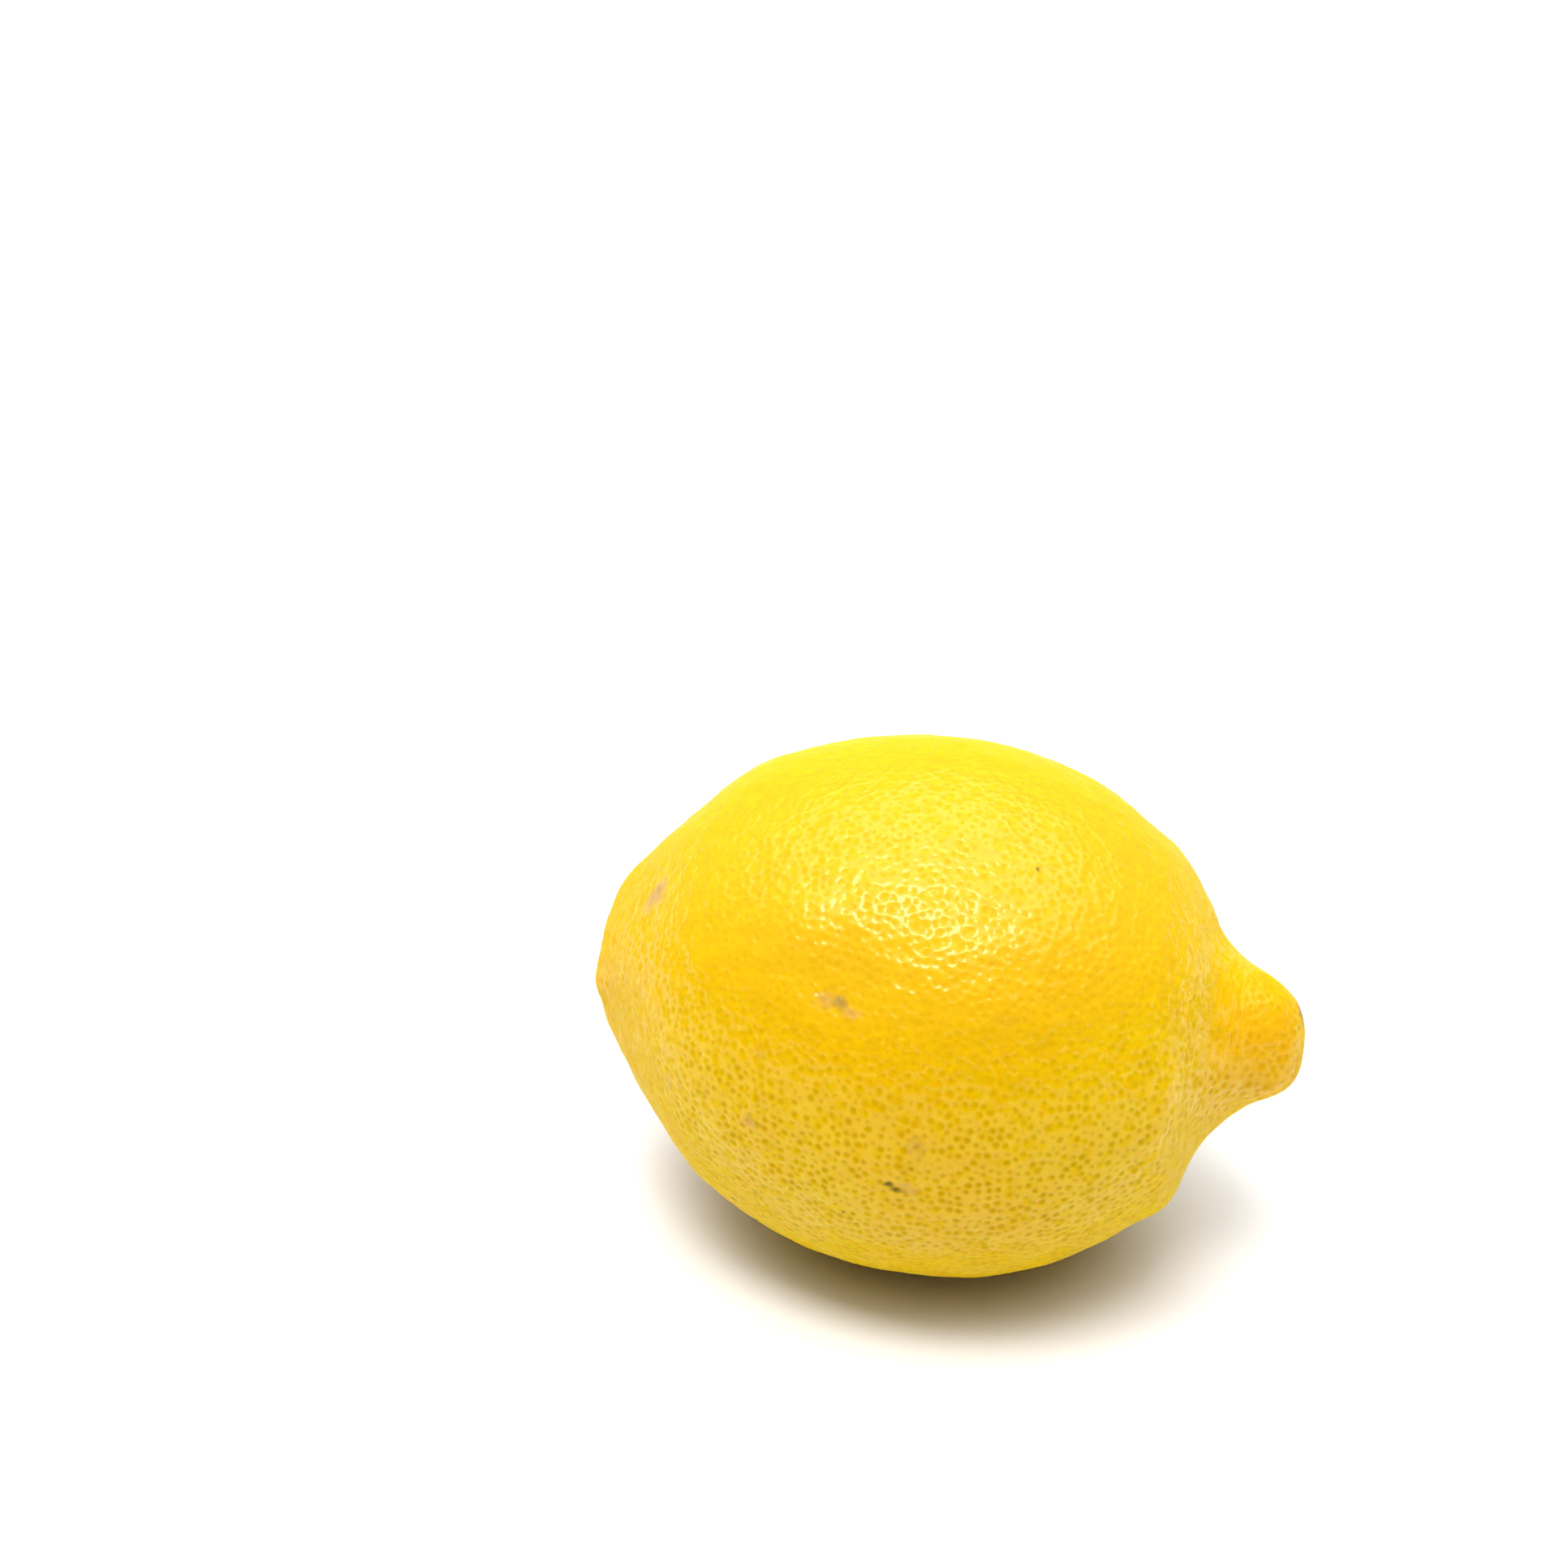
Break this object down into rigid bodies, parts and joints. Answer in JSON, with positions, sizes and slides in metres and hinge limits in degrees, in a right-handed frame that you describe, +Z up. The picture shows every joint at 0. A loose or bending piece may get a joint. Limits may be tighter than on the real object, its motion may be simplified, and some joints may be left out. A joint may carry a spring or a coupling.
{
  "type": "lemon",
  "caption": "Whole fresh lemon lying on its side: oval fruit with a blunt nipple, a low collar at the stem end and a dry calyx with the stub of its stalk.",
  "frame": {"origin": "on the surface the lemon rests on, under the middle of its length and width", "axes": "+X along the fruit from the stem end to the nipple, +Z up, +Y across"},
  "size_m": [0.0816, 0.0626, 0.0611],
  "materials": {
    "peel": "waxy yellow citrus peel with fine dimples, semi-gloss",
    "calyx": "dry, matt, olive brown"
  },
  "bodies": {
    "root": {"fruit": "peel", "calyx": "calyx"}
  },
  "joints": []
}
